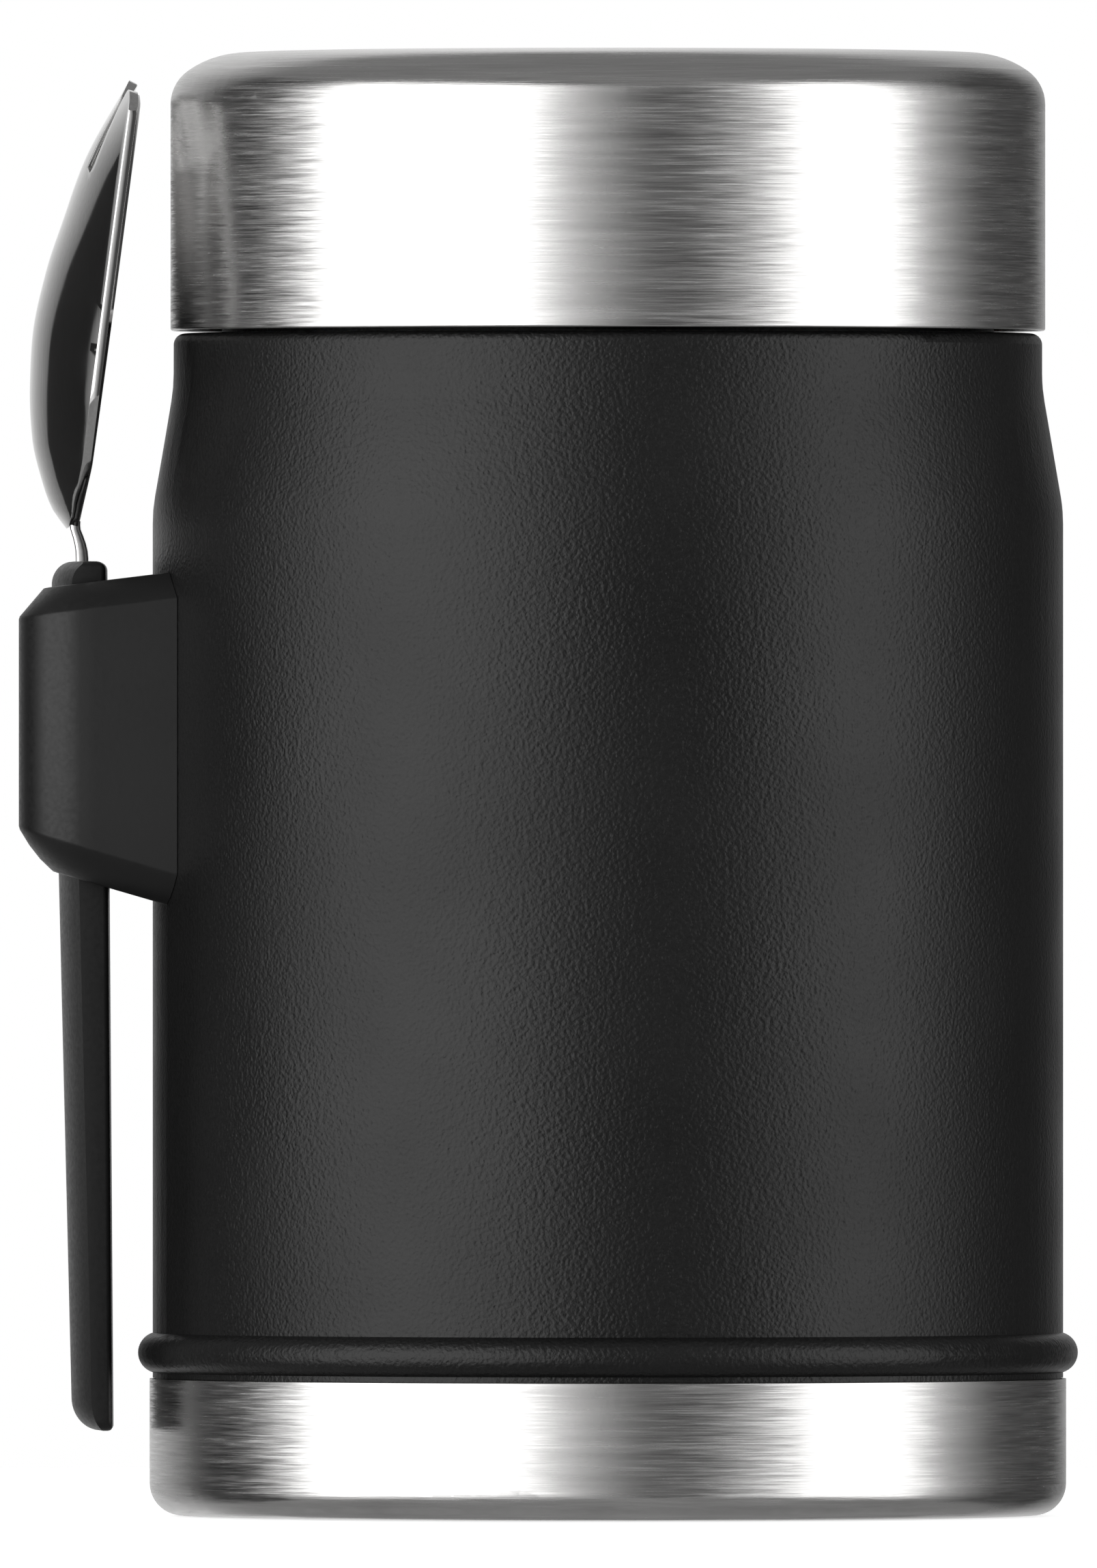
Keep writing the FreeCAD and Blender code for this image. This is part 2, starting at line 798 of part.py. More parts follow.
def make_stopper_cap():
    """A dish with finger wells each side of a grip bar; its rim sits on the flange."""
    low, top, floor = "cap_low", "cap_top", "well_floor"
    dish = lathe(
        "stopper_dish",
        [
            ("0", f"{floor} - cap_wall"),
            ("well_radius + cap_wall", f"{floor} - cap_wall"),
            ("well_radius + cap_wall", low),
            ("flange_radius", low),
            ("flange_radius", top),
            ("well_radius", top),
            ("well_radius", floor),
            ("0", floor),
        ],
    )
    round_rings(dish, "cap_round", [("flange_radius", top), ("well_radius", top)])
    bar = primitive(
        "Box",
        "grip_block",
        Length="grip_width",
        Width="2 * (well_radius + grip_into)",
        Height="well_depth - grip_drop",
        x="0 - grip_width / 2",
        y="0 - well_radius - grip_into",
        z=floor,
    )
    return fused("stopper_cap", [dish, bar])


def make_stopper_foam():
    floor = "(plug_bottom + plug_wall + foam_gap)"
    top = "(well_floor - cap_wall - foam_gap)"
    radius = "plug_radius - plug_wall - foam_gap"
    return primitive("Cylinder", "stopper_foam", Radius=radius, Height=f"{top} - {floor}", z=floor)


def make_gasket():
    low, outer = "(lip + seat_gap)", "(flange_radius + gasket_out)"
    body = lathe(
        "stopper_gasket",
        [
            (f"{outer} - gasket_width", low),
            (outer, low),
            (outer, f"{low} + gasket_height"),
            (f"{outer} - gasket_width", f"{low} + gasket_height"),
        ],
    )
    round_rings(body, "seal_round", [(outer, low), (outer, f"{low} + gasket_height")])
    return body


# Lid


def make_lid_cup():
    """A drawn cup whose top corner is two tangent arcs."""
    side, width, height = "lid_corner_side", "lid_corner_width", "lid_corner_height"
    over = f"((pow({width} - {side}; 2) + pow({height}; 2) - pow({side}; 2)) / (2 * ({height} - {side})))"
    share = f"({over} / ({over} - {side}))"
    join_r = f"(lid_radius - {width} + ({width} - {side}) * {share})"
    join_z = f"(lid_top - {over} + ({over} - {height}) * {share})"
    inner_share = f"(({over} - lid_wall) / ({over} - {side}))"
    inner_r = f"(lid_radius - {width} + ({width} - {side}) * {inner_share})"
    inner_z = f"(lid_top - {over} + ({over} - {height}) * {inner_share})"
    body = lathe(
        "lid_cup",
        [
            ("lid_radius - lid_wall", "lid_bottom"),
            ("lid_radius", "lid_bottom"),
            ("lid_radius", f"lid_top - {height}", side, 1),
            (join_r, join_z, over, 1),
            (f"lid_radius - {width}", "lid_top"),
            ("0", "lid_top"),
            ("0", "lid_top - lid_wall"),
            (f"lid_radius - {width}", "lid_top - lid_wall", f"{over} - lid_wall", -1),
            (inner_r, inner_z, f"{side} - lid_wall", -1),
            ("lid_radius - lid_wall", f"lid_top - {height}"),
        ],
    )
    rims = [("lid_radius", "lid_bottom"), ("lid_radius - lid_wall", "lid_bottom")]
    round_rings(body, "lid_edge_round", rims)
    return body


def make_lid_liner():
    low = "(lid_bottom + liner_inset)"
    outer, foot = "(liner_bore + liner_wall)", "(lid_radius - lid_wall - liner_seam)"
    groove = "(liner_bore + seal_groove)"
    groove_top = "(lid_bottom + lid_seal_rise + lid_seal_height + seat_gap)"
    blank = lathe(
        "lid_liner_blank",
        [
            (groove, low),
            (foot, low),
            (foot, f"{low} + liner_foot_height"),
            (outer, f"{low} + liner_foot_height"),
            (outer, "liner_top"),
            ("0", "liner_top"),
            ("0", "liner_ceiling"),
            ("liner_bore", "liner_ceiling"),
            ("liner_bore", groove_top),
            (groove, groove_top),
        ],
    )
    round_rings(blank, "liner_round", [(outer, "liner_top")])
    round_rings(blank, "liner_round - liner_top_wall", [("liner_bore", "liner_ceiling")])
    low = "neck_thread_low - thread_pitch / 2"
    ridges = thread("liner_thread", "liner_bore", -1, low, "liner_thread_angle", "liner_thread_turns")
    return fused("lid_liner", [blank] + ridges)


def make_lid_foam():
    low, high = "(liner_top + foam_gap)", "(lid_top - lid_wall - foam_gap)"
    return primitive("Cylinder", "lid_foam", Radius="foam_radius", Height=f"{high} - {low}", z=low)


def make_lid_seal():
    low, outer = "(lid_bottom + lid_seal_rise)", "(liner_bore + seal_groove - seat_gap)"
    body = lathe(
        "lid_seal",
        [
            (f"{outer} - lid_seal_width", low),
            (outer, low),
            (outer, f"{low} + lid_seal_height"),
            (f"{outer} - lid_seal_width", f"{low} + lid_seal_height"),
        ],
    )
    round_rings(body, "seal_round", [(outer, low), (f"{outer} - lid_seal_width", low)])
    return body


# Spork


# Along the bowl from its neck: place, depth and half width, each as a share of the bowl's own
BOWL_STATIONS = [
    (0.00, 0.14, 0.30),
    (0.05, 0.42, 0.45),
    (0.11, 0.61, 0.60),
    (0.20, 0.83, 0.78),
    (0.30, 0.94, 0.91),
    (0.42, 1.00, 0.99),
    (0.55, 0.93, 1.00),
    (0.68, 0.77, 0.98),
    (0.82, 0.53, 0.93),
    (1.00, 0.12, 0.85),
]


# How far a side tine's tip drops at its inner edge, at its outer edge and past it, as shares of tine_step
SIDE_TINE_DROPS = (0.6, 2.2, 3.4)
# The least depth of the space under the rim, and how much of the sheet a section loses at the sides
LEAST_DEPTH, SIDE_SHARE = 0.06, 0.8


def bowl_solid(inset):
    """The space under the rim, out to the sheet's outer face or, with inset, to its inner face."""
    sections = []
    for place, depth_share, width_share in BOWL_STATIONS:
        sheet_here = size("bowl_sheet") + (size("tine_sheet") - size("bowl_sheet")) * place
        cut = sheet_here if inset else 0
        depth = max(size("bowl_depth") * depth_share - cut, LEAST_DEPTH)
        half = size("bowl_half_width") * width_share - cut * SIDE_SHARE
        up = size("bowl_length") * place
        left, right = V(0, -half, up), V(0, half, up)
        arc = Part.Arc(left, V(-depth, 0, up), right).toShape()
        if inset:
            over = size("bowl_sheet")
            corners = [right, right + V(over, 0, 0), left + V(over, 0, 0), left]
            lines = [Part.LineSegment(a, b).toShape() for a, b in zip(corners, corners[1:])]
        else:
            lines = [Part.LineSegment(right, left).toShape()]
        sections.append(Part.Wire([arc] + lines))
    return Part.makeLoft(sections, True, True)


def tine_cutter():
    """The slots between the tines, with round roots, and the space past the shorter side tines."""
    length, slot = size("tine_length"), size("tine_slot")
    top, half, past = size("bowl_length"), size("bowl_half_width"), size("tine_slot")
    deep = size("bowl_depth") + past
    count = int(size("tine_count"))
    tip_half = half * BOWL_STATIONS[-1][2]
    step = 2 * tip_half / count
    cutters = []
    for i in range(1, count):
        middle = -tip_half + i * step
        box = Part.makeBox(2 * deep, slot, length, V(-deep, middle - slot / 2, top - length + slot / 2))
        root = Part.makeCylinder(slot / 2, 2 * deep, V(-deep, middle, top - length + slot / 2), V(1, 0, 0))
        cutters += [box, root]
    shorter = size("tine_step")
    for side in (-1, 1):
        outer = V(-deep, side * (half + past), top + past)
        inner_edge = side * (tip_half - step)
        points = [
            V(-deep, inner_edge, top + past),
            V(-deep, inner_edge, top - shorter * SIDE_TINE_DROPS[0]),
            V(-deep, side * tip_half, top - shorter * SIDE_TINE_DROPS[1]),
            V(-deep, side * (half + past), top - shorter * SIDE_TINE_DROPS[2]),
            outer,
        ]
        face = Part.Face(Part.makePolygon(points + points[:1]))
        cutters.append(face.extrude(V(2 * deep, 0, 0)))
    return cutters


def make_spork_head():
    """A stamped bowl with tines, an S-bent neck and a tang that the handle is moulded on."""
    bowl = bowl_solid(False).cut(bowl_solid(True))
    for cutter in tine_cutter():
        bowl = bowl.cut(cutter)
    start = V(-size("rim_x"), 0, size("handle_top + neck_rise"))
    bowl.Placement = FreeCAD.Placement(start, FreeCAD.Rotation(V(0, 1, 0), size("rim_tilt")))
    outer = -size("tang_outer")
    inner = outer + size("tang_thickness")
    top, rise, width = size("handle_top"), size("neck_rise"), size("tang_width")
    bottom = top - size("tang_depth")
    bowl_outer = start.x - size("bowl_depth") * BOWL_STATIONS[0][1]
    into, rim = size("neck_into"), start.x - size("neck_inset")
    crease = top - size("crease_drop")
    points = [
        V(outer, 0, bottom),
        V(outer, 0, crease),
        V(bowl_outer, 0, top + rise),
        V(bowl_outer + size("neck_follow"), 0, top + rise + into),
        V(rim, 0, top + rise + into),
        V(rim, 0, top + rise),
        V(inner, 0, crease),
        V(inner, 0, bottom),
    ]
    strip = Part.Face(Part.makePolygon(points + points[:1])).extrude(V(0, width, 0))
    strip.translate(V(0, -width / 2, 0))
    head = doc.addObject("Part::Feature", "spork_head")
    head.Shape = bowl.fuse(strip).removeSplitter()
    return head


def make_spork_handle():
    low, high = "(handle_top - handle_length)", "handle_top"
    section_low = handle_outline("handle_outer_bottom", "handle_back_bottom", "handle_width_bottom")
    section_high = handle_outline("handle_outer_top", "handle_back_top", "handle_width_top")
    blank = ruled_loft("handle_blank", low, high, section_low, section_high)

    def crowned_end(edge, height):
        box = edge.BoundBox
        flat = abs(box.ZMin - size(height)) < NEAR and abs(box.ZMax - size(height)) < NEAR
        deep, wide = box.XLength > size("handle_crown / 2"), box.YLength > size("handle_width_bottom / 2")
        return flat and deep and wide

    def soften(name, base, amount, height):
        feature = doc.addObject("Part::Fillet", name)
        feature.Base = base
        found = edges_where(base.Shape, lambda edge: crowned_end(edge, height))
        feature.Edges = [(i, size(amount), size(amount)) for i in found]
        doc.recompute()
        return feature

    ended = soften("handle_ended", blank, "handle_end_round", low)
    topped = soften("handle_topped", ended, "handle_top_round", high)
    tang = primitive(
        "Box",
        "handle_tang",
        Length="tang_thickness",
        Width="tang_width",
        Height="tang_depth + cut_past",
        x="0 - tang_outer",
        y="0 - tang_width / 2",
        z="handle_top - tang_depth",
    )
    return boolean("Cut", "spork_handle", topped, tang)


NODES = [
    make_outer_shell(),
    make_inner_vessel(),
    make_shell_bottom(),
    make_vacuum_plug(),
    make_getter(),
    make_foil(),
    make_base_cup(),
    make_bracket(),
    make_holder(),
    make_screws(),
    make_stopper_body(),
    make_stopper_cap(),
    make_stopper_foam(),
    make_gasket(),
    make_lid_cup(),
    make_lid_liner(),
    make_lid_foam(),
    make_lid_seal(),
    make_spork_head(),
    make_spork_handle(),
]

doc.recompute()
for item in doc.Objects:
    assert "Invalid" not in item.State and "Error" not in item.State, f"{item.Name}: {item.State}"
for node in NODES:
    assert not node.Shape.isNull() and node.Shape.isValid(), f"{node.Label} has no valid shape"

os.makedirs("parts", exist_ok=True)
for node in NODES:
    solids = node.Shape.Solids
    shape = solids[0] if len(solids) == 1 else node.Shape
    shape.exportStep(f"parts/{node.Label}.step")
    print(f"{node.Label}: {len(solids)} solids, {shape.Volume:.1f} mm3")
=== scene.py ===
"""Looks for the insulated food jar: finishes, the spork, its handle and holder, light and camera.

Metres, +Z up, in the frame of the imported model. The camera looks along +Y.
"""

import json
import math

import bpy
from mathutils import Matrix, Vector

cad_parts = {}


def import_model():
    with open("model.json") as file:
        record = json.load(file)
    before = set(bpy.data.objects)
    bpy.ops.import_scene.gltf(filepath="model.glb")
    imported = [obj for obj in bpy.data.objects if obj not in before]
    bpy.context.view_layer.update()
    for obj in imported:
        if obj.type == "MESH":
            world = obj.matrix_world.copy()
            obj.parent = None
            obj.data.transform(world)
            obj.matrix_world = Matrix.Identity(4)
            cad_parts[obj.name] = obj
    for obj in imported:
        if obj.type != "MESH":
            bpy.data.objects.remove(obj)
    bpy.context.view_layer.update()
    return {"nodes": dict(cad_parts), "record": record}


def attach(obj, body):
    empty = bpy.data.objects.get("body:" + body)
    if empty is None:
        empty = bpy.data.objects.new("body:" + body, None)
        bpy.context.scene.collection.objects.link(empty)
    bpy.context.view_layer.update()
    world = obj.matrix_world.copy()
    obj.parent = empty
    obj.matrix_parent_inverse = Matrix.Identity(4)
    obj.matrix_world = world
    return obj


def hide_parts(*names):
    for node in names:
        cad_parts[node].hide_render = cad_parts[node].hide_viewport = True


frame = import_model()
MM = 0.001

# Material helpers


class Nodes:
    """A short way to write a material's node tree."""

    def __init__(self, name):
        self.material = bpy.data.materials.new(name)
        self.material.use_nodes = True
        self.tree = self.material.node_tree
        self.shader = self.tree.nodes["Principled BSDF"]
        self.place = self.add("ShaderNodeTexCoord").outputs["Object"]

    def add(self, kind, **settings):
        node = self.tree.nodes.new(kind)
        for key, value in settings.items():
            setattr(node, key, value)
        return node

    def link(self, source, target):
        self.tree.links.new(source, target)

    def feed(self, node, *values):
        """Sets or links a node's inputs in order; None leaves one alone."""
        for socket, value in zip(node.inputs, values):
            if isinstance(value, bpy.types.NodeSocket):
                self.link(value, socket)
            elif value is not None:
                socket.default_value = value
        return node

    def math(self, operation, *values):
        return self.feed(self.add("ShaderNodeMath", operation=operation), *values).outputs[0]

    def vector(self, operation, *values):
        return self.feed(self.add("ShaderNodeVectorMath", operation=operation), *values)

    def noise(self, place, scale, detail=2.0, roughness=0.5):
        node = self.add("ShaderNodeTexNoise")
        self.link(place, node.inputs["Vector"])
        node.inputs["Scale"].default_value = scale
        node.inputs["Detail"].default_value = detail
        node.inputs["Roughness"].default_value = roughness
        return node.outputs["Fac"]

    def ramp(self, value, low, high, from_low=0.0, from_high=1.0):
        """Maps a value to a range."""
        node = self.add("ShaderNodeMapRange")
        self.link(value, node.inputs["Value"])
        ends = {"From Min": from_low, "From Max": from_high, "To Min": low, "To Max": high}
        for key, number in ends.items():
            node.inputs[key].default_value = number
        return node.outputs["Result"]

    def colours(self, value, *stops):
        """A colour ramp with (place, colour) stops."""
        node = self.add("ShaderNodeValToRGB")
        elements = node.color_ramp.elements
        while len(elements) < len(stops):
            elements.new(0.5)
        for element, (place, colour) in zip(elements, stops):
            element.position = place
            element.color = (*colour, 1.0)
        self.link(value, node.inputs["Fac"])
        return node.outputs["Color"]

    def bump(self, height, strength, distance, normal=None):
        node = self.add("ShaderNodeBump")
        node.inputs["Strength"].default_value = strength
        node.inputs["Distance"].default_value = distance
        self.link(height, node.inputs["Height"])
        if normal is not None:
            self.link(normal, node.inputs["Normal"])
        return node.outputs["Normal"]

    def set(self, **values):
        """Sets or links the shader's sockets by name, with _ for a space."""
        for key, value in values.items():
            socket = self.shader.inputs[key.replace("_", " ")]
            if isinstance(value, bpy.types.NodeSocket):
                self.link(value, socket)
            else:
                socket.default_value = value


def grey(level, warm=0.0):
    """A grey, a little warmer by a share."""
    return (level * (1 + warm), level, level * (1 - warm))


def round_the_axis(nodes, along, across):
    """Coordinates that run slowly round the jar's axis and quickly across the brushing, then x and y."""
    split = nodes.feed(nodes.add("ShaderNodeSeparateXYZ"), nodes.place)
    x, y, z = split.outputs
    squares = nodes.math("ADD", nodes.math("MULTIPLY", x, x), nodes.math("MULTIPLY", y, y))
    radius = nodes.math("POWER", squares, 0.5)
    across_place = nodes.math("SUBTRACT", z, radius)
    place = nodes.feed(
        nodes.add("ShaderNodeCombineXYZ"),
        nodes.math("MULTIPLY", x, along),
        nodes.math("MULTIPLY", y, along),
        nodes.math("MULTIPLY", across_place, across),
    ).outputs[0]
    return place, x, y


def swayed_normal(nodes, x, y, amount):
    """The surface's normal, turned a little round the jar's axis by a signed amount."""
    minus_y = nodes.math("MULTIPLY", y, -1.0)
    tangent = nodes.feed(nodes.add("ShaderNodeCombineXYZ"), minus_y, x, 0.0).outputs[0]
    unit = nodes.vector("NORMALIZE", tangent).outputs["Vector"]
    turn = nodes.add(
        "ShaderNodeVectorTransform", vector_type="NORMAL", convert_from="OBJECT", convert_to="WORLD"
    )
    nodes.link(unit, turn.inputs[0])
    scaled = nodes.add("ShaderNodeVectorMath", operation="SCALE")
    nodes.link(turn.outputs[0], scaled.inputs[0])
    nodes.link(amount, scaled.inputs["Scale"])
    normal = nodes.add("ShaderNodeNewGeometry").outputs["Normal"]
    total = nodes.vector("ADD", normal, scaled.outputs["Vector"]).outputs["Vector"]
    return nodes.vector("NORMALIZE", total).outputs["Vector"]


def brushed_steel(name, tone=0.62, rough=(0.16, 0.3), sway=0.035, streak=(150, 6500)):
    """Steel brushed round the axis: long thin streaks in tone, gloss and tilt."""
    nodes = Nodes(name)
    place, x, y = round_the_axis(nodes, *streak)
    fine = nodes.noise(place, 1.0, 3.0, 0.6)
    broad_place, _, _ = round_the_axis(nodes, streak[0] / 3, streak[1] / 7)
    broad = nodes.noise(broad_place, 1.0, 2.0)
    mixed = nodes.math("ADD", nodes.math("MULTIPLY", fine, 0.7), nodes.math("MULTIPLY", broad, 0.3))
    colour = nodes.colours(mixed, (0.3, grey(tone * 0.84, 0.012)), (0.7, grey(tone * 1.12, 0.008)))
    signed = nodes.ramp(fine, -sway, sway, 0.3, 0.7)
    normal = nodes.bump(fine, 0.25, 0.00004, swayed_normal(nodes, x, y, signed))
    nodes.set(
        Base_Color=colour,
        Metallic=1.0,
        Roughness=nodes.ramp(mixed, *rough, 0.3, 0.7),
        Anisotropic=0.6,
        Normal=normal,
    )
    tangent = nodes.add("ShaderNodeTangent", direction_type="RADIAL", axis="Z")
    nodes.link(tangent.outputs["Tangent"], nodes.shader.inputs["Tangent"])
    return nodes.material


def powder_coat(name):
    """Black coating with a fine, close wrinkle like leather."""
    nodes = Nodes(name)
    wrinkle = nodes.noise(nodes.place, 3300, 3.0, 0.55)
    cells = nodes.add("ShaderNodeTexVoronoi", feature="SMOOTH_F1")
    nodes.link(nodes.place, cells.inputs["Vector"])
    cells.inputs["Scale"].default_value = 2500
    domes = nodes.math("MULTIPLY", cells.outputs["Distance"], 0.6)
    height = nodes.math("ADD", domes, nodes.math("MULTIPLY", wrinkle, 0.6))
    cloud = nodes.noise(nodes.place, 60, 2.0)
    colour = nodes.colours(wrinkle, (0.3, grey(0.004)), (0.7, grey(0.009)))
    nodes.set(
        Base_Color=colour,
        Roughness=nodes.ramp(cloud, 0.34, 0.42, 0.3, 0.7),
        Specular_IOR_Level=0.34,
        Normal=nodes.bump(height, 1.0, 0.0001),
    )
    return nodes.material


def moulded_plastic(name, level, rough):
    """Moulded plastic with a faint grain and slight sheen changes."""
    nodes = Nodes(name)
    fine = nodes.noise(nodes.place, 2200, 3.0)
    cloud = nodes.noise(nodes.place, 90, 2.0)
    nodes.set(
        Base_Color=nodes.colours(cloud, (0.3, grey(level * 0.85)), (0.7, grey(level * 1.15))),
        Roughness=nodes.ramp(fine, rough - 0.05, rough + 0.07, 0.3, 0.7),
        Specular_IOR_Level=0.36,
        Normal=nodes.bump(fine, 0.25, 0.00002),
    )
    return nodes.material


def polished_steel(name):
    """Polished spork steel with faint scratches along its length."""
    tone = 0.64
    nodes = Nodes(name)
    stretch = nodes.vector("MULTIPLY", nodes.place, (5200.0, 5200.0, 260.0)).outputs["Vector"]
    scratch = nodes.noise(stretch, 1.0, 3.0, 0.6)
    cloud = nodes.noise(nodes.place, 180, 2.0)
    nodes.set(
        Base_Color=nodes.colours(scratch, (0.3, grey(tone * 0.93, 0.01)), (0.7, grey(tone * 1.05, 0.006))),
        Metallic=1.0,
        Roughness=nodes.ramp(cloud, 0.05, 0.1, 0.3, 0.7),
        Normal=nodes.bump(scratch, 0.06, 0.00001),
    )
    return nodes.material


def satin_steel(name):
    """Drawn steel inside the jar, brushed faintly round the axis."""
    return brushed_steel(name, tone=0.58, rough=(0.24, 0.36), sway=0.02, streak=(90, 4200))


def silicone(name):
    """Pale translucent rubber."""
    nodes = Nodes(name)
    cloud = nodes.noise(nodes.place, 240, 3.0)
    nodes.set(
        Base_Color=nodes.colours(cloud, (0.3, (0.6, 0.6, 0.58)), (0.7, (0.72, 0.72, 0.7))),
        Roughness=nodes.ramp(cloud, 0.48, 0.6, 0.3, 0.7),
        Subsurface_Weight=0.15,
        Subsurface_Scale=0.002,
    )
    return nodes.material


def closed_foam(name):
    """Cream foam with small closed cells."""
    nodes = Nodes(name)
    cells = nodes.add("ShaderNodeTexVoronoi")
    nodes.link(nodes.place, cells.inputs["Vector"])
    cells.inputs["Scale"].default_value = 1600
    distance = cells.outputs["Distance"]
    nodes.set(
        Base_Color=nodes.colours(distance, (0.0, (0.62, 0.58, 0.48)), (0.6, (0.8, 0.77, 0.68))),
        Roughness=0.85,
        Normal=nodes.bump(distance, 0.6, 0.0002),
    )
    return nodes.material


def bright_foil(name):
    """Creased metal foil."""
    nodes = Nodes(name)
    crease = nodes.noise(nodes.place, 220, 5.0, 0.65)
    nodes.set(
        Base_Color=nodes.colours(crease, (0.3, (0.7, 0.7, 0.7)), (0.7, (0.82, 0.81, 0.8))),
        Metallic=1.0,
        Roughness=nodes.ramp(crease, 0.1, 0.25, 0.3, 0.7),
        Normal=nodes.bump(crease, 0.5, 0.0004),
    )
    return nodes.material


FINISHES = {
    "brushed_steel": brushed_steel("brushed_steel"),
    "coated_steel": powder_coat("coated_steel"),
    "black_plastic": moulded_plastic("black_plastic", 0.008, 0.4),
    "vessel_steel": satin_steel("vessel_steel"),
    "spork_steel": polished_steel("spork_steel"),
    "grey_plastic": moulded_plastic("grey_plastic", 0.05, 0.42),
    "seal_rubber": silicone("seal_rubber"),
    "foam": closed_foam("foam"),
    "foil": bright_foil("foil"),
}
SPORK_STEEL, BLACK = FINISHES["spork_steel"], FINISHES["black_plastic"]


def finish_nodes():
    """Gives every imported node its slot's finish."""
    for part in frame["record"]["subparts"]:
        node = frame["nodes"][part["node"]]
        node.data.materials.clear()
        node.data.materials.append(FINISHES[part["material_slot"]])


# Mesh helpers


def mesh_piece(name, points, faces, material, sharp=35.0):
    """A mesh object with smooth shading, kept crisp at edges sharper than an angle in degrees."""
    mesh = bpy.data.meshes.new(name)
    mesh.from_pydata([Vector(p) for p in points], [], faces)
    mesh.validate()
    mesh.materials.append(material)
    piece = bpy.data.objects.new(name, mesh)
    bpy.context.scene.collection.objects.link(piece)
    mesh.shade_smooth()
    mesh.set_sharp_from_angle(angle=math.radians(sharp))
    return piece


def apply_modifiers(piece):
    """Bakes a piece's modifiers into its mesh."""
    depsgraph = bpy.context.evaluated_depsgraph_get()
    mesh = bpy.data.meshes.new_from_object(piece.evaluated_get(depsgraph))
    piece.modifiers.clear()
    piece.data = mesh


def rings(count, loops, closed):
    """Quads between rings of count points each; closed joins the last ring to the first."""
    faces = []
    last = loops if closed else loops - 1
    for ring in range(last):
        low, high = ring * count, ((ring + 1) % loops) * count
        for i in range(count):
            after = (i + 1) % count
            faces.append((low + i, low + after, high + after, high + i))
    return faces


def capped_stack(loops):
    """Points and faces of a stack of closed loops, with a flat cap at each end."""
    count = len(loops[0])
    points = [point for loop in loops for point in loop]
    faces = rings(count, len(loops), False)
    faces.append(tuple(reversed(range(count))))
    faces.append(tuple(range(len(points) - count, len(points))))
    return points, faces


def between(ends, share):
    """The value at a share of the way from one end to the other."""
    return ends[0] + (ends[1] - ends[0]) * share


def smooth_value(table, place):
    """A value between (place, value) rows on a smooth curve that keeps to the rows' own rise and fall."""
    if place <= table[0][0]:
        return table[0][1]
    if place >= table[-1][0]:
        return table[-1][1]
    slopes = [(b[1] - a[1]) / (b[0] - a[0]) for a, b in zip(table, table[1:])]
    tangents = [slopes[0]]
    for before, after in zip(slopes, slopes[1:]):
        tangents.append(0.0 if before * after <= 0 else 2 * before * after / (before + after))
    tangents.append(slopes[-1])
    i = next(k for k in range(len(slopes)) if place <= table[k + 1][0])
    (x0, y0), (x1, y1) = table[i], table[i + 1]
    step = x1 - x0
    t = (place - x0) / step
    return (
        y0 * (2 * t**3 - 3 * t**2 + 1)
        + tangents[i] * step * (t**3 - 2 * t**2 + t)
        + y1 * (3 * t**2 - 2 * t**3)
        + tangents[i + 1] * step * (t**3 - t**2)
    )


def end_round(distance, radius):
    """How far a rounded end draws in at a distance from its tip."""
    if distance >= radius:
        return 0.0
    return radius - math.sqrt(max(radius**2 - (radius - max(distance, 0)) ** 2, 0))


def corner_points(x, y, radius, start, steps=5):
    """Points round a corner, as (x, y), from an angle in quarter turns to the next quarter."""
    angles = [math.pi / 2 * (start + k / steps) for k in range(steps + 1)]
    return [(x + radius * math.cos(angle), y + radius * math.sin(angle)) for angle in angles]


# Spork head: the bowl with its tines in one sheet, and the bent neck from there down to the tang

# Where the rim starts at the neck, and how far the rim leans back towards the jar
RIM_START = Vector((-51.26, 0, 96.0)) * MM
RIM_TILT = math.radians(7.56)
RIM_UP = Vector((math.sin(RIM_TILT), 0, math.cos(RIM_TILT)))
RIM_OUT = Vector((-math.cos(RIM_TILT), 0, math.sin(RIM_TILT)))
# Places along the rim from the neck: the inner tines' tips and the slots' roots
BOWL_LENGTH, SLOT_ROOT = 43.4 * MM, 34.0 * MM
# Half a slot's width, how much shorter the outer tines are, and the flat lip's width along the rim
SLOT_HALF, SIDE_STEP, LIP = 0.95 * MM, 0.9 * MM, 0.5 * MM
TINES = 4
# The rounded length of a tine's tip, how square its round is, and how far short of a point the mesh ends
TIP_LENGTH, TIP_POWER, TIP_END = 2.4 * MM, 2.2, 0.02 * MM
# The sheet's thickness, where the drawn surface lies in it from -1 to 1, and the width of its softened edges
SHEET, SHEET_SIDE, EDGE_WIDTH = 0.85 * MM, -0.3, 0.14 * MM
# Counts of rows along the bowl and the tines and of faces across a tine, and how tine rows crowd to the tip
BOWL_STEPS, TINE_STEPS, TINE_COLUMNS, TINE_CROWDING = 44, 26, 8, 1.4
# How far from the neck in mm the rim is drawn outwards, and how much of its depth the sheet's middle takes
NECK_BLEND, DEPTH_SHARE = 6.0, 0.93
# Outer and inner x and z in mm along the tang and the bent neck, up to the crease under the bowl
NECK_LINE = [
    (-51.67, -50.45, 66.0),
    (-51.67, -50.45, 92.9),
    (-51.7, -50.52, 93.6),
    (-51.8, -50.68, 94.3),
    (-51.98, -50.92, 95.0),
    (-52.2, -51.2, 95.7),
    (-52.26, -51.24, 96.1),
    (-52.1, -51.22, 96.5),
]
# The neck's half width and the round of its edges in mm
NECK_HALF, NECK_ROUND = 4.5, 0.3

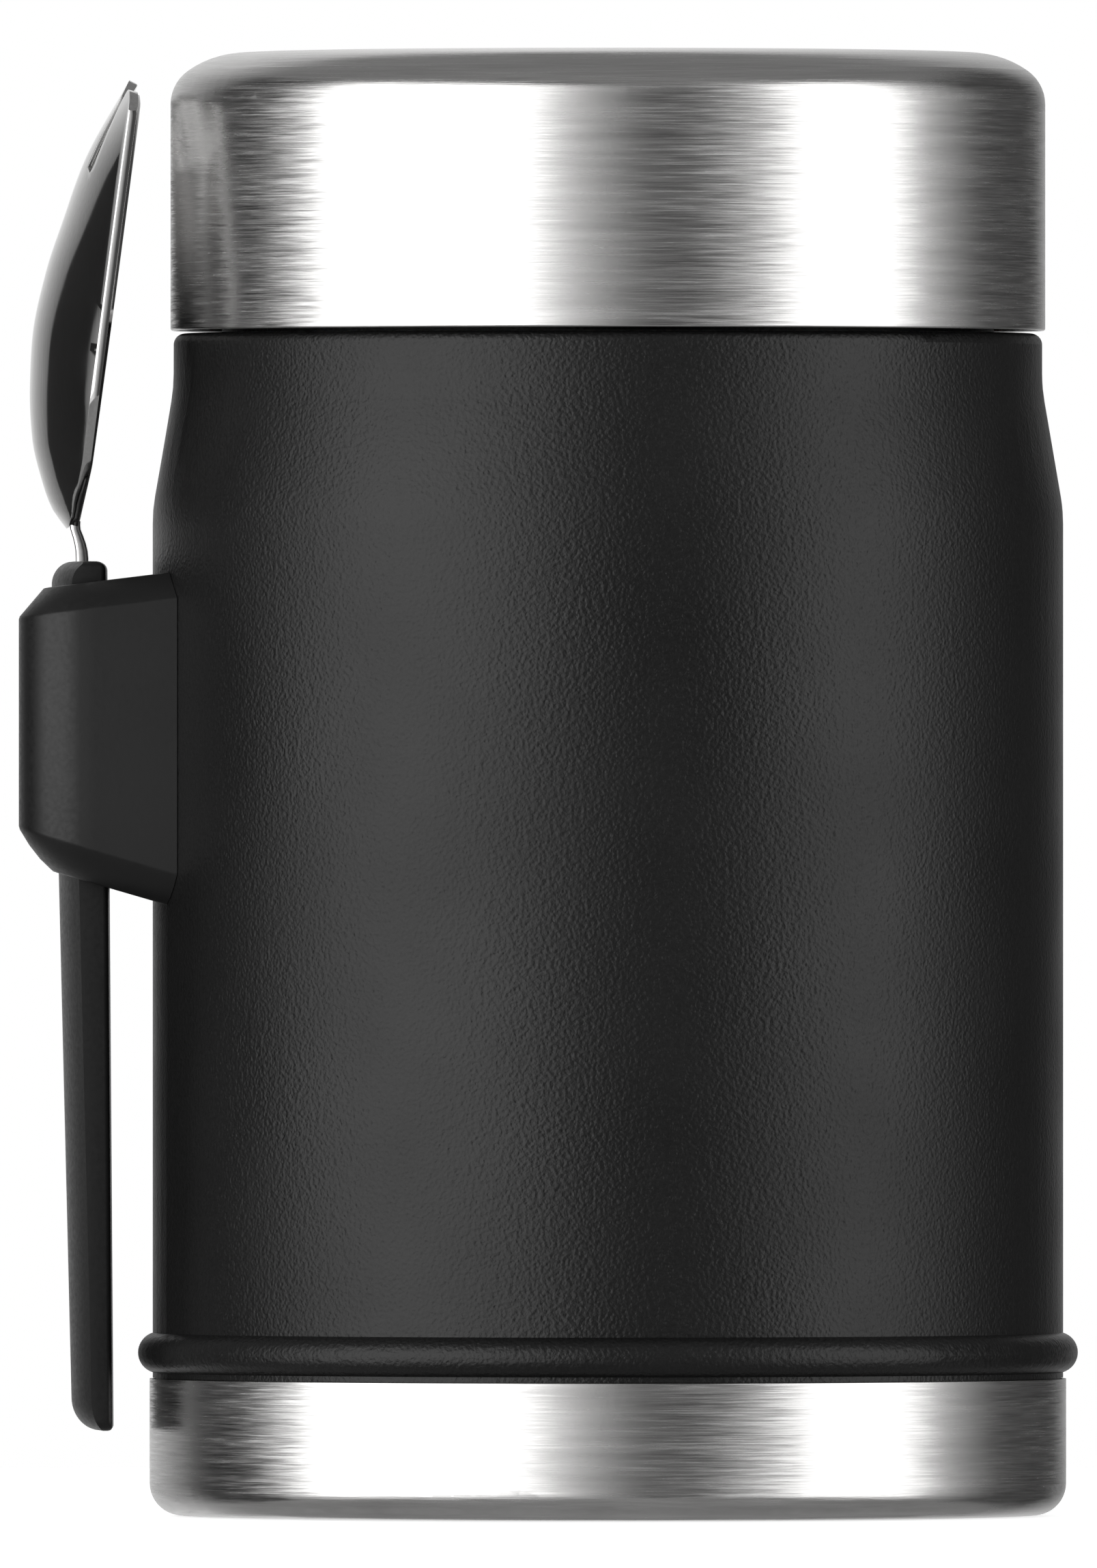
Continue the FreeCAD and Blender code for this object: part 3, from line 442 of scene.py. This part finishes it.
# Places in mm along the rim from the neck, with the bowl's depth and half width there
BOWL_ROWS = [
    (0, 1.0, 4.6),
    (1.7, 2.7, 6.2),
    (4.2, 4.1, 8.9),
    (7.9, 5.6, 11.7),
    (13.1, 6.6, 14.1),
    (18.4, 7.0, 15.0),
    (23.9, 6.5, 15.15),
    (29.3, 5.4, 14.8),
    (34.9, 4.1, 14.1),
    (43.4, 0.5, 12.9),
]
BOWL_DEPTH = [(place, depth) for place, depth, _ in BOWL_ROWS]
BOWL_WIDTH = [(place, half) for place, _, half in BOWL_ROWS]
TIP_HALF = BOWL_ROWS[-1][2] * MM


def trough_depth(depth, half, side):
    """How far a trough of that depth and half width lies under its rim, at a place across it."""
    return depth * max(1 - (side / half) ** 2, 0)


def bowl_row(place):
    """The bowl's rim point, depth and half width at a place along the rim, in metres."""
    mm_place = place / MM
    near_neck = max(1 - mm_place / NECK_BLEND, 0) * MM / 2
    depth = smooth_value(BOWL_DEPTH, mm_place) * DEPTH_SHARE * MM - near_neck
    half = smooth_value(BOWL_WIDTH, mm_place) * MM
    return RIM_START + RIM_UP * place + RIM_OUT * near_neck, depth, half


def tine_end(tine):
    """Where a tine's tip lies along the rim: the outer two stop short of the inner ones."""
    return BOWL_LENGTH - (SIDE_STEP if tine in (0, TINES - 1) else 0)


def tine_edges(place, half, tine):
    """A tine's two edges at a place past the slot's root, with round roots and tips."""
    width = 2 * TIP_HALF / TINES
    into = min(max((place - SLOT_ROOT) / SLOT_HALF, 0), 1)
    gap = SLOT_HALF * math.sqrt(1 - (1 - into) ** 2)
    low = -half if tine == 0 else -TIP_HALF + tine * width + gap
    high = half if tine == TINES - 1 else -TIP_HALF + (tine + 1) * width - gap
    past = min(max((place - (tine_end(tine) - TIP_LENGTH)) / TIP_LENGTH, 0), 1)
    narrow = math.sqrt(max(1 - past**TIP_POWER, 0.0))
    middle = (low + high) / 2
    return middle + (low - middle) * narrow, middle + (high - middle) * narrow


def spork_neck():
    """The bent strip between the bowl and the handle, with rounded edges."""
    side = NECK_HALF - NECK_ROUND
    loops = []
    for outer, inner, z in NECK_LINE:
        front, back = outer + NECK_ROUND, inner - NECK_ROUND
        loop = []
        for quarter, (x, y) in enumerate(((back, side), (front, side), (front, -side), (back, -side))):
            loop += corner_points(x, y, NECK_ROUND, quarter, 3)
        loops.append([Vector((x, y, z)) * MM for x, y in loop])
    piece = mesh_piece("spork_neck", *capped_stack(loops), SPORK_STEEL, 40)
    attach(piece, "spork")
    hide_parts("spork_head")


def spork_head():
    """The bowl and tines, drawn as rows across the spork and given a sheet's thickness."""
    points, faces = [], []

    def row_points(rim, depth, half, sides):
        start = len(points)
        for side in sides:
            points.append(rim + RIM_OUT * trough_depth(depth, half - LIP, side) + Vector((0, side, 0)))
        return list(range(start, len(points)))

    def quads(low, high):
        for a, b, c, d in zip(low, low[1:], high[1:], high):
            faces.append((a, b, c, d))

    def spread(low, high, count):
        return [low + (high - low) * i / count for i in range(count + 1)]

    def with_lip(low, high, low_lip, high_lip, count):
        """Places across a row, with a narrow flat lip where the row ends at the rim."""
        inner = spread(low + low_lip, high - high_lip, count)
        return ([low] if low_lip else []) + inner + ([high] if high_lip else [])

    columns = TINES * TINE_COLUMNS
    rows = []
    for k in range(BOWL_STEPS + 1):
        rim, depth, half = bowl_row(SLOT_ROOT * k / BOWL_STEPS)
        rows.append(row_points(rim, depth, half, with_lip(-half, half, LIP, LIP, columns)))
    for low, high in zip(rows, rows[1:]):
        quads(low, high)
    for tine in range(TINES):
        first, last = tine == 0, tine == TINES - 1
        start = 0 if first else tine * TINE_COLUMNS + 1
        before = rows[-1][start : (tine + 1) * TINE_COLUMNS + (3 if last else 2)]
        length = tine_end(tine) - SLOT_ROOT - TIP_END
        for k in range(1, TINE_STEPS + 1):
            place = SLOT_ROOT + length * (1 - (1 - k / TINE_STEPS) ** TINE_CROWDING)
            rim, depth, half = bowl_row(place)
            low, high = tine_edges(place, half, tine)
            lip = min(LIP, (high - low) / 6)
            row = row_points(rim, depth, half, with_lip(low, high, lip * first, lip * last, TINE_COLUMNS))
            quads(before, row)
            before = row
    piece = mesh_piece("spork_bowl", points, faces, SPORK_STEEL, 40)
    solid = piece.modifiers.new("sheet", "SOLIDIFY")
    solid.thickness = SHEET
    solid.offset = SHEET_SIDE
    edge = piece.modifiers.new("soft_edges", "BEVEL")
    edge.width = EDGE_WIDTH
    edge.segments = 2
    edge.limit_method = "ANGLE"
    edge.angle_limit = math.radians(50)
    apply_modifiers(piece)
    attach(piece, "spork")
    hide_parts("spork_head")


# Spork handle, in mm

HANDLE_TOP, HANDLE_BOTTOM = 92.6, 8.25
# The outer and back faces' x and the half width, each at the top and at the bottom
HANDLE_OUTER, HANDLE_BACK, HANDLE_HALF = (-54.1, -52.05), (-48.72, -48.1), (10.5, 8.0)
# The end rounds of the outer face, the back and the sides, each at the top and at the bottom
OUTER_ROUNDS, BACK_ROUNDS, SIDE_ROUNDS = (2.1, 2.7), (0.86, 0.4), (0.8, 1.2)
# How much longer than deep the outer face's rounds are
OUTER_STRETCH = (1.1, 1.15)
# How much the outer face is crowned, in how many steps, and the round of the back's long edges
HANDLE_CROWN, CROWN_STEPS, BACK_CORNER = 2.05, 14, 0.5
# Lengths with close rows for the end rounds, the counts of rows, and how they crowd to the ends
TOP_LENGTH, BOTTOM_LENGTH = 2.4, 3.2
END_ROWS, SHAFT_ROWS, ROW_CROWDING = 12, 30, 1.6


def end_rounds(up, down, rounds):
    """How far the rounds at the top and the bottom draw in at distances from those ends."""
    return end_round(up, rounds[0]) + end_round(down, rounds[1])


def handle_share(z):
    """How far down the handle a height is, from 0 to 1."""
    return (HANDLE_TOP - z) / (HANDLE_TOP - HANDLE_BOTTOM)


def spork_handle():
    """A tapered bar with a crowned outer face and rounded ends."""
    low, high = HANDLE_BOTTOM + BOTTOM_LENGTH, HANDLE_TOP - TOP_LENGTH
    heights = [HANDLE_BOTTOM + BOTTOM_LENGTH * (k / END_ROWS) ** ROW_CROWDING for k in range(END_ROWS + 1)]
    heights += [between((low, high), k / SHAFT_ROWS) for k in range(1, SHAFT_ROWS + 1)]
    heights += [HANDLE_TOP - TOP_LENGTH * (1 - k / END_ROWS) ** ROW_CROWDING for k in range(1, END_ROWS + 1)]
    loops = []
    for z in heights:
        share = handle_share(z)
        up, down = HANDLE_TOP - z, z - HANDLE_BOTTOM
        outer_in = end_rounds(up / OUTER_STRETCH[0], down / OUTER_STRETCH[1], OUTER_ROUNDS)
        outer = between(HANDLE_OUTER, share) + outer_in
        back = between(HANDLE_BACK, share) - end_rounds(up, down, BACK_ROUNDS)
        half = between(HANDLE_HALF, share) - end_rounds(up, down, SIDE_ROUNDS)
        crown = min(HANDLE_CROWN, (back - outer) * 0.5)
        loop = []
        for k in range(CROWN_STEPS + 1):
            side = half - 2 * half * k / CROWN_STEPS
            loop.append((outer + crown * (side / half) ** 2, side))
        loop += corner_points(back - BACK_CORNER, -half + BACK_CORNER, BACK_CORNER, 3)
        loop += corner_points(back - BACK_CORNER, half - BACK_CORNER, BACK_CORNER, 0)
        loops.append([Vector((x * MM, y * MM, z * MM)) for x, y in loop])
    piece = mesh_piece("spork_grip", *capped_stack(loops), BLACK, 30)
    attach(piece, "spork")
    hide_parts("spork_handle")


# Spork holder, in mm

# The front face's x, the half width, the front corners' round, and the radius of the back against the jar
HOLDER_FRONT, HOLDER_HALF, HOLDER_CORNER, BACK_RADIUS = -57.15, 14.8, 6.0, 44.3
# How much of an inset the corner's radius gives up
CORNER_SHARE = 0.4
# Counts of steps round the outline
SIDE_STEPS, CORNER_STEPS, FRONT_STEPS, BACK_STEPS = 6, 10, 8, 12
# The top and bottom faces: their heights at the shell, and their slopes in degrees
SHELL_X = -44.24
TOP_HEIGHT, TOP_SLOPE = 91.3, 7.0
BOTTOM_HEIGHT, BOTTOM_SLOPE = 59.7, 16.3
# The bevels' insets and heights, and the softness of their edges
TOP_BEVEL, BOTTOM_BEVEL, EDGE_SOFTNESS = (2.5, 2.6), (3.3, 3.3), 0.3
# A row this far inside a flat face keeps the face's edge crisp
EDGE_HOLD = 0.02
# The slot's gap round the handle, its back face, the middle it is drawn from and the heights it is taken at
SLOT_GAP, SLOT_BACK, SLOT_MIDDLE = 0.35, -47.6, -51.2
SLOT_HEIGHTS = {"high": 90.0, "low": 60.0}
# How far the slot's mouths open and how deep, and the slot's rough half sizes along x and y
MOUTH_OPENING, MOUTH_DEPTH, MOUTH_HALF_X, MOUTH_HALF_Y = 0.35, 0.4, 3, 11
NEAR_ZERO = 1e-9


def holder_outline(inset):
    """The holder's plan outline, drawn in at the front and sides, from back left round to back right."""
    front, half = HOLDER_FRONT + inset, HOLDER_HALF - inset
    corner = HOLDER_CORNER - inset * CORNER_SHARE
    front_end, back_end = front + corner, -math.sqrt(BACK_RADIUS**2 - half**2)
    loop = [(between((back_end, front_end), k / SIDE_STEPS), half) for k in range(SIDE_STEPS)]
    loop += corner_points(front_end, half - corner, corner, 1, CORNER_STEPS)
    loop += [(front, (half - corner) * (1 - 2 * k / FRONT_STEPS)) for k in range(1, FRONT_STEPS)]
    loop += corner_points(front_end, corner - half, corner, 2, CORNER_STEPS)
    loop += [(between((front_end, back_end), k / SIDE_STEPS), -half) for k in range(1, SIDE_STEPS + 1)]
    turn = math.asin(half / BACK_RADIUS)
    for k in range(1, BACK_STEPS):
        angle = turn * (1 - 2 * k / BACK_STEPS)
        loop.append((-BACK_RADIUS * math.cos(angle), -BACK_RADIUS * math.sin(angle)))
    return loop


def slot_outline(z):
    """The slot's outline at a height, with one point in the direction of each point of the plan outline."""
    outer = between(HANDLE_OUTER, handle_share(z)) - SLOT_GAP
    half = between(HANDLE_HALF, handle_share(z)) + SLOT_GAP
    loop = []
    for x, y in holder_outline(0):
        out = x - SLOT_MIDDLE
        face = outer if out < 0 else SLOT_BACK
        reach = min(
            abs((face - SLOT_MIDDLE) / out) if abs(out) > NEAR_ZERO else math.inf,
            abs(half / y) if abs(y) > NEAR_ZERO else math.inf,
        )
        slot_x, slot_y = SLOT_MIDDLE + out * reach, y * reach
        if slot_x < outer + HANDLE_CROWN:
            slot_x = max(slot_x, outer + HANDLE_CROWN * (slot_y / half) ** 2)
        loop.append((slot_x, slot_y))
    return loop


def holder_height(x, depth, side):
    """The height of a place at a depth inside the holder's low or high face."""
    if side == "low":
        return BOTTOM_HEIGHT + (SHELL_X - x) * math.tan(math.radians(BOTTOM_SLOPE)) + depth
    return TOP_HEIGHT - (SHELL_X - x) * math.tan(math.radians(TOP_SLOPE)) - depth


def spork_holder():
    """A block with bevelled top and bottom edges, bent to the jar behind, with the handle's slot in it."""
    soft = EDGE_SOFTNESS
    low_in, low_deep = BOTTOM_BEVEL
    high_in, high_deep = TOP_BEVEL
    # (inset, depth inside the face, which face), from the bottom face out and up to the top face
    rows = [
        (low_in + soft, 0.0, "low"),
        (low_in, EDGE_HOLD, "low"),
        (low_in - soft * 0.7, soft * 0.5, "low"),
        (low_in * 0.62, low_deep * 0.26, "low"),
        (low_in * 0.3, low_deep * 0.58, "low"),
        (soft * 0.35, low_deep - soft * 0.6, "low"),
        (0.0, low_deep + soft * 0.5, "low"),
        (0.0, high_deep + soft * 0.5, "high"),
        (soft * 0.3, high_deep - soft * 0.4, "high"),
        (high_in - soft * 0.5, soft * 0.3, "high"),
        (high_in, EDGE_HOLD, "high"),
        (high_in + soft, 0.0, "high"),
    ]
    # (opening, depth inside the face, which face), from the slot's top mouth down to its bottom mouth
    slot_rows = [
        (MOUTH_OPENING, 0.0, "high"),
        (0.0, MOUTH_DEPTH, "high"),
        (0.0, MOUTH_DEPTH, "low"),
        (MOUTH_OPENING, 0.0, "low"),
    ]
    points = []
    for inset, depth, side in rows:
        points += [Vector((x, y, holder_height(x, depth, side))) * MM for x, y in holder_outline(inset)]
    for opening, depth, side in slot_rows:
        for x, y in slot_outline(SLOT_HEIGHTS[side]):
            x = SLOT_MIDDLE + (x - SLOT_MIDDLE) * (1 + opening / MOUTH_HALF_X)
            y *= 1 + opening / MOUTH_HALF_Y
            points.append(Vector((x, y, holder_height(x, depth, side))) * MM)
    loops = len(rows) + len(slot_rows)
    faces = rings(len(points) // loops, loops, True)
    piece = mesh_piece("spork_sleeve", points, faces, BLACK, 28)
    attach(piece, "jar")
    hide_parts("spork_holder")


# Light, floor and camera

# The drum of cards that reflections show: its radius, and the heights of its foot and top
DRUM_RADIUS, DRUM_LOW, DRUM_HIGH = 1.2, -0.7, 1.0
# Grey cards round the jar: from one azimuth to another in degrees, with the level at each end
CARDS = (
    (-180, -162, 1.0, 0.7),
    (-162, -128, 0.75, 0.2),
    (-128, -98, 0.03, 0.02),
    (-98, -82, 0.14, 0.85),
    (-18, 6, 0.9, 0.09),
    (6, 26, 0.07, 0.1),
    (26, 46, 0.14, 0.75),
    (84, 108, 0.6, 0.12),
    (108, 150, 0.05, 0.06),
    (150, 180, 0.08, 0.9),
)
# The levels of the cards that close the drum above and below
OVERHEAD, UNDERFOOT = 0.24, 0.27
# How far off the softboxes stand, how tall they are and how high their middles are
SOFTBOX_DISTANCE, SOFTBOX_TALL, SOFTBOX_HEIGHT = 0.9, 1.3, 0.25
# The rays that the camera sees straight or in metal and glass
SEEN_RAYS = ("Is Camera Ray", "Is Glossy Ray", "Is Transmission Ray")
# The world's strength for the light on the object, and the floor's lift to white for seen rays
WORLD_LIGHT, FLOOR_LIFT = 0.35, 0.72
# The floor's radius, and how far it lies under the jar
FLOOR_RADIUS, FLOOR_DROP = 0.34, 0.0001
# The camera's distance, its place across and up, and the height of the frame at the jar
CAMERA_DISTANCE, CAMERA_X, CAMERA_Z, FRAME_HEIGHT = 4.8, -0.00577, 0.0710, 0.1523


def around(azimuth, distance, height):
    """A place round the jar: azimuth 0 is towards the camera and 90 is +X."""
    angle = math.radians(azimuth)
    return Vector((math.sin(angle) * distance, -math.cos(angle) * distance, height))


def softbox(name, low, high, radiance):
    """An upright area light that fills a band of azimuths."""
    middle, half = (low + high) / 2, math.radians((high - low) / 2)
    light = bpy.data.lights.new(name, "AREA")
    light.shape = "RECTANGLE"
    light.size = 2 * SOFTBOX_DISTANCE * math.tan(half)
    light.size_y = SOFTBOX_TALL
    light.energy = radiance * math.pi * light.size * light.size_y
    lamp = bpy.data.objects.new(name, light)
    lamp.location = around(middle, SOFTBOX_DISTANCE, SOFTBOX_HEIGHT)
    towards_jar = Vector((0, 0, SOFTBOX_HEIGHT)) - lamp.location
    lamp.rotation_euler = towards_jar.to_track_quat("-Z", "Y").to_euler()
    bpy.context.scene.collection.objects.link(lamp)


def ray_is_seen(tree):
    """1 for the seen rays and 0 for the rest."""
    path = tree.nodes.new("ShaderNodeLightPath")
    total = path.outputs[SEEN_RAYS[0]]
    for output in SEEN_RAYS[1:]:
        join = tree.nodes.new("ShaderNodeMath")
        join.operation = "MAXIMUM"
        tree.links.new(total, join.inputs[0])
        tree.links.new(path.outputs[output], join.inputs[1])
        total = join.outputs[0]
    return total


def backdrop_piece(name, points, faces, level):
    """A backdrop that only reflections show, at a level given by its node tree."""
    nodes = Nodes(name)
    nodes.set(Base_Color=(0, 0, 0, 1), Roughness=1.0, Specular_IOR_Level=0.0, Emission_Color=(1, 1, 1, 1))
    shown = nodes.math("MULTIPLY", ray_is_seen(nodes.tree), level(nodes))
    nodes.link(shown, nodes.shader.inputs["Emission Strength"])
    nodes.material.cycles.emission_sampling = "NONE"
    piece = mesh_piece(name, points, faces, nodes.material)
    piece.visible_camera = False
    piece.visible_diffuse = False
    piece.visible_shadow = False


def card(number, low, high, level_low, level_high):
    """An upright curved card that fills a band of azimuths."""
    steps = max(2, int((high - low) / 4))
    points, faces = [], []
    for k in range(steps + 1):
        azimuth = low + (high - low) * k / steps
        points += [around(azimuth, DRUM_RADIUS, DRUM_LOW), around(azimuth, DRUM_RADIUS, DRUM_HIGH)]
    for k in range(steps):
        faces.append((2 * k, 2 * k + 2, 2 * k + 3, 2 * k + 1))

    def level(nodes):
        x, y, _ = nodes.feed(nodes.add("ShaderNodeSeparateXYZ"), nodes.place).outputs
        azimuth = nodes.math("ARCTAN2", x, nodes.math("MULTIPLY", y, -1.0))
        return nodes.ramp(azimuth, level_low, level_high, math.radians(low), math.radians(high))

    backdrop_piece(f"card_{number}", points, faces, level)


def lid_card(name, height, grey_level):
    """A level card that closes the drum above or below."""
    steps = 48
    points = [around(360 * k / steps, DRUM_RADIUS, height) for k in range(steps)]

    def level(nodes):
        cloud = nodes.noise(nodes.place, 2.0, 1.0)
        return nodes.ramp(cloud, grey_level * 0.9, grey_level * 1.1, 0.3, 0.7)

    backdrop_piece(name, points, [tuple(range(steps))], level)


def world():
    """A white world for seen rays, and a dim one for the light on the object."""
    scene_world = bpy.data.worlds.new("studio")
    scene_world.use_nodes = True
    tree = scene_world.node_tree
    background = tree.nodes["Background"]
    background.inputs["Color"].default_value = (1, 1, 1, 1)
    level = tree.nodes.new("ShaderNodeMapRange")
    level.inputs["To Min"].default_value = WORLD_LIGHT
    level.inputs["To Max"].default_value = 1.0
    tree.links.new(ray_is_seen(tree), level.inputs["Value"])
    tree.links.new(level.outputs["Result"], background.inputs["Strength"])
    bpy.context.scene.world = scene_world


def floor():
    """A pale floor that reads white to the camera and keeps the jar's shadow."""
    steps = 96
    points = [(0, 0, 0)] + [tuple(around(360 * k / steps, FLOOR_RADIUS, 0)) for k in range(steps)]
    faces = [(0, k + 1, (k + 1) % steps + 1) for k in range(steps)]
    nodes = Nodes("floor")
    cloud = nodes.noise(nodes.place, 8, 2.0)
    nodes.set(
        Base_Color=nodes.colours(cloud, (0.3, (0.8, 0.8, 0.8)), (0.7, (0.83, 0.83, 0.83))),
        Roughness=0.8,
        Specular_IOR_Level=0.1,
        Emission_Color=(1, 1, 1, 1),
    )
    lift = nodes.math("MULTIPLY", ray_is_seen(nodes.tree), FLOOR_LIFT)
    nodes.link(lift, nodes.shader.inputs["Emission Strength"])
    nodes.material.cycles.emission_sampling = "NONE"
    piece = mesh_piece("floor", points, faces, nodes.material)
    piece.location.z = -FLOOR_DROP
    piece.visible_glossy = False


def camera():
    """The photograph has next to no perspective, so the camera stands far off behind a long lens."""
    data = bpy.data.cameras.new("camera")
    data.sensor_width = 36.0
    data.lens = data.sensor_width * CAMERA_DISTANCE / FRAME_HEIGHT
    data.clip_end = 100.0
    seen = bpy.data.objects.new("camera", data)
    seen.location = (CAMERA_X, -CAMERA_DISTANCE, CAMERA_Z)
    seen.rotation_euler = (math.pi / 2, 0, 0)
    bpy.context.scene.collection.objects.link(seen)
    bpy.context.scene.camera = seen


finish_nodes()
spork_head()
spork_neck()
spork_handle()
spork_holder()
world()
floor()
softbox("left_softbox", -82, -18, 1.55)
softbox("right_softbox", 46, 84, 1.2)
for number, values in enumerate(CARDS):
    card(number, *values)
lid_card("overhead", DRUM_HIGH, OVERHEAD)
lid_card("underfoot", DRUM_LOW, UNDERFOOT)
camera()
bpy.context.scene.view_settings.view_transform = "Standard"
